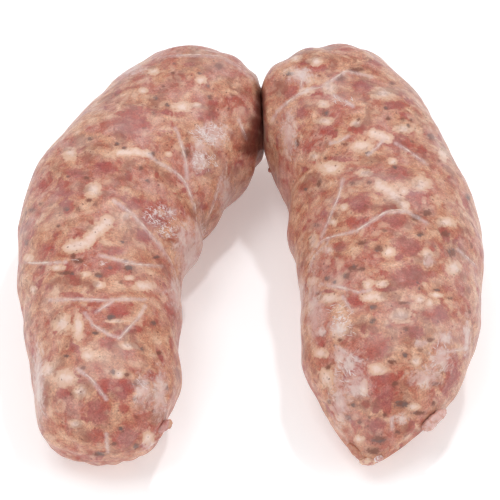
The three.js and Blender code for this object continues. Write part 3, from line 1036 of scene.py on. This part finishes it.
# %% Fine wrinkles, where the casing is crumpled
# Each zone has a middle and a half size in the picture, the way that its wrinkles run in
# degrees below the horizontal, how long they are, and how many there are.
WRINKLE = {"shortest": 0.5, "longest": 1.3, "turn": 22, "aside": 1.1, "thin": 0.07, "thick": 0.12}
WRINKLE_STEPS = (-0.5, -0.17, 0.17, 0.5)
WRINKLE_ZONES = [
    ((208, 135), (17, 10), 20, 11, 38), ((209, 162), (10, 9), 52, 8, 24), ((160, 218), (17, 12), 30, 6, 44),
    ((168, 232), (11, 7), 10, 6, 18), ((338, 312), (15, 7), 0, 10, 16), ((344, 330), (13, 8), 30, 7, 14),
    ((344, 100), (12, 6), 20, 7, 12), ((345, 372), (12, 14), 60, 9, 12), ((440, 357), (9, 14), 125, 9, 12),
    ((203, 240), (3, 22), 88, 14, 7), ((105, 262), (50, 3), 4, 11, 9), ((142, 388), (7, 12), 60, 8, 8),
]


def wrinkle_paths(zones, seed):
    chance = random.Random(seed)
    paths = []
    for (x, y), (half_width, half_height), slope, length, count in zones:
        for _ in range(count):
            turn, share = chance.uniform(0, math.tau), math.sqrt(chance.random())
            start_x = x + half_width * share * math.cos(turn)
            start_y = y + half_height * share * math.sin(turn)
            way = math.radians(slope + chance.gauss(0, WRINKLE["turn"]))
            reach = length * chance.uniform(WRINKLE["shortest"], WRINKLE["longest"])
            path = []
            for step in WRINKLE_STEPS:
                aside = chance.uniform(-WRINKLE["aside"], WRINKLE["aside"])
                path.append((
                    start_x + reach * step * math.cos(way) - aside * math.sin(way),
                    start_y + reach * step * math.sin(way) + aside * math.cos(way),
                ))
            paths.append((chance.uniform(WRINKLE["thin"], WRINKLE["thick"]), path))
    return paths


WRINKLE_FILM = film_material("casing_wrinkle", FILM_WHITE, LAVENDER)
casing_wrinkles = run_tree(
    "casing_wrinkles", thread_lines("wrinkle_paths", wrinkle_paths(WRINKLE_ZONES, 7)), thread_tree(),
    {"Unevenness": 1.0, "Knot spacing": 0.5 * MM, "Sides": 6, "Material": WRINKLE_FILM},
)
print("wrinkles", len(casing_wrinkles.data.polygons), "faces")

# %% [markdown]
# ## Scraps at the cut ends
#
# At the near ends the casing was cut. A drawn-out corner of it with a crumb of fat sticks out of
# the left link, a flap of fat is stuck to the right one, and a nub of meat shows at its open
# tip beside a pale frill of casing. These are small and all different, so each starts as a ball
# that is stretched along its own direction, and one tree roughens them all.

# %% Scraps, with the same places and half sizes as the solid's
# Each has its middle, the way that it is long, the way that it stands out, and its half sizes.
SCRAPS = {
    "casing_corner": ((-20.2, -51.8, 14.9), (0.78, 0.46, 0.43), (0.85, -0.5, 0), (2.2, 1.3, 1.1)),
    "fat_crumb": ((-18.9, -51.4, 15.3), (0.1, 0.7, 0.7), (0.8, -0.6, 0), (1.1, 0.8, 0.8)),
    "fat_flap": ((42.8, -48.5, 13.4), (0.77, 0.47, 0.44), (0.66, -0.75, 0), (3.7, 1.3, 1.3)),
    "flap_lobe": ((41.8, -49.2, 12.8), (0.77, 0.47, 0.44), (0.66, -0.75, 0), (2.3, 1.6, 1.4)),
    "meat_nub": ((24.9, -54.3, 8.2), (-0.7, 0.51, 0.48), (-0.5, -0.8, 0.3), (3.2, 1.1, 0.9)),
    "tip_lip": ((27.4, -55.9, 7.1), (1, 0, 0.1), (0, -1, 0), (2, 1.1, 0.9)),
    "casing_frill": ((29.6, -55.6, 7.9), (0.9, -0.1, 0.3), (0.2, -0.95, 0), (1.3, 0.9, 0.9)),
    "crease_crumb": ((5, 32.3, 14.4), (0.3, -0.3, 0.9), (-0.9, -0.4, 0), (0.8, 0.6, 0.6)),
}
SCRAP_ROUGHNESS = 0.8 * MM
SCRAP_GRAIN = 1.1 * MM


def scrap_tree():
    tree, entry, leave = new_geometry_tree("Rough scrap")
    roughness = add_input(tree, entry, "Roughness", "Float")
    grain = add_input(tree, entry, "Grain", "Float")
    material = add_input(tree, entry, "Material", "Material")
    here = add_node(tree, "GeometryNodeInputPosition").outputs[0]
    bumps = minus(tree, noise(tree, here, over(tree, 1.0, grain), 3.0, 0.6), 0.5)
    normal = add_node(tree, "GeometryNodeInputNormal").outputs[0]
    offset = calc_vector(tree, "SCALE", normal, times(tree, bumps, roughness))
    rough = add_node(tree, "GeometryNodeSetPosition", Geometry=entry.outputs["Geometry"], Offset=offset)
    finish_tree(tree, rough.outputs[0], leave, material)
    return tree


ROUGHEN = scrap_tree()


def make_scrap(name, scrap, material):
    at, long, out, half = [Vector(values) for values in scrap]
    long.normalize()
    across = out.cross(long).normalized()
    turn = Matrix((long, across, long.cross(across))).transposed().to_4x4()
    size = Matrix.Diagonal((*(half * MM), 1))
    middle = Matrix.Translation(at * MM - DRAFT_CENTRE)
    ball = bmesh.new()
    bmesh.ops.create_icosphere(ball, subdivisions=5, radius=1, matrix=middle @ turn @ size)
    mesh = bpy.data.meshes.new(f"{name}_ball")
    ball.to_mesh(mesh)
    ball.free()
    values = {"Roughness": SCRAP_ROUGHNESS, "Grain": SCRAP_GRAIN, "Material": material}
    return run_tree(name, mesh, ROUGHEN, values)


def scrap_material(name, light, dark):
    material, tree, shader = new_material(name)
    place = place_in_mm(tree)
    mottled = noise(tree, stirred(tree, place, 1.0, 1.2), 0.9, 4, 0.6)
    colour = blend_colours(tree, step_between(tree, mottled, 0.38, 0.6), dark, light)
    height = noise(tree, place, 1.6, 3)
    bump = add_node(tree, "ShaderNodeBump", Height=height, Strength=0.4, Distance=0.2 * MM)
    set_inputs(
        tree, shader, Base_Color=colour, Roughness=0.4, Normal=bump.outputs[0],
        Subsurface_Weight=0.15, Subsurface_Radius=(1.0, 0.4, 0.3), Subsurface_Scale=0.8 * MM,
        Coat_Weight=0.5, Coat_Roughness=0.18,
    )
    return material


SCRAP_COLOURS = {
    "casing_corner": ("drawn_casing", BLUSH, ROSE),
    "fat_crumb": ("fat_crumb", SAND, TAN),
    "fat_flap": ("pink_fat", FLAP_PINK, FLAP_TAN),
    "flap_lobe": ("lobe_fat", FLAP_PINK, FLAP_TAN),
    "meat_nub": ("bare_meat", TAN, RUST),
    "tip_lip": ("tip_fat", STRAW, ROSE),
    "casing_frill": ("frill_film", FILM_WHITE, BLUSH),
    "crease_crumb": ("brown_crumb", RUST, UMBER),
}
scraps = [make_scrap(name, scrap, scrap_material(*SCRAP_COLOURS[name])) for name, scrap in SCRAPS.items()]
for piece in scraps:
    print(piece.name, len(piece.data.polygons), "faces")

# %% [markdown]
# ## One body, one solid replaced
#
# The solid is one piece with one body, so all that was made here rides on that body, and the two
# links together stand for the solid.

# %% Ride and replace
for link in (left_link, right_link):
    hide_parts("sausage_string")
for piece in (left_link, right_link, casing_threads, casing_wrinkles, *scraps):
    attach(piece, "root")

# %% [markdown]
# ## Table and light
#
# A pale table, a bright even room and a broad soft lamp high on the left light most of it. Weak
# lamps at both sides and in front reach into the gap between the links, and a tiny one, high up
# behind them, puts small glints on the film.

# %% Table, room and lamps
def glowing_material(name, colour, roughness, glow):
    material, tree, shader = new_material(name)
    set_inputs(
        tree, shader, Base_Color=colour, Roughness=roughness, Emission_Color=colour, Emission_Strength=glow,
    )
    return material


floor_mesh = bpy.data.meshes.new("table")
REACH = 3.0
corners = [(-REACH, -REACH, 0), (REACH, -REACH, 0), (REACH, REACH, 0), (-REACH, REACH, 0)]
floor_mesh.from_pydata(corners, [], [(0, 1, 2, 3)])
floor = bpy.data.objects.new("table", floor_mesh)
floor_mesh.materials.append(glowing_material("pale_table", (0.93, 0.93, 0.93, 1), 0.6, 0.3))
bpy.context.scene.collection.objects.link(floor)

world = bpy.data.worlds.new("studio")
world.use_nodes = True
world.node_tree.nodes["Background"].inputs["Color"].default_value = (0.97, 0.99, 1.0, 1)
world.node_tree.nodes["Background"].inputs["Strength"].default_value = 0.52
bpy.context.scene.world = world
bpy.context.scene.view_settings.view_transform = "Standard"


LAMP_COLOUR = (0.97, 1.0, 1.03)
LAMPS = {
    "main_softbox": ((-0.28, -0.1, 0.95), 0.45, 2.35),
    "right_fill": ((0.7, -0.25, 0.45), 0.4, 1.4),
    "left_fill": ((-0.7, -0.1, 0.4), 0.4, 0.5),
    "front_fill": ((-0.45, -0.8, 0.35), 0.5, 1.1),
    "small_glint": ((0.2, 0.35, 0.8), 0.06, 1.8),
}


def soft_lamp(name, place, size, power):
    data = bpy.data.lights.new(name, "AREA")
    data.shape = "SQUARE"
    data.size = size
    data.energy = power
    data.color = LAMP_COLOUR
    lamp = bpy.data.objects.new(name, data)
    lamp.location = place
    lamp.rotation_euler = (TARGET - Vector(place)).to_track_quat("-Z", "Y").to_euler()
    bpy.context.scene.collection.objects.link(lamp)


for name, (place, size, power) in LAMPS.items():
    soft_lamp(name, place, size, power)
print(len(LAMPS), "lamps")
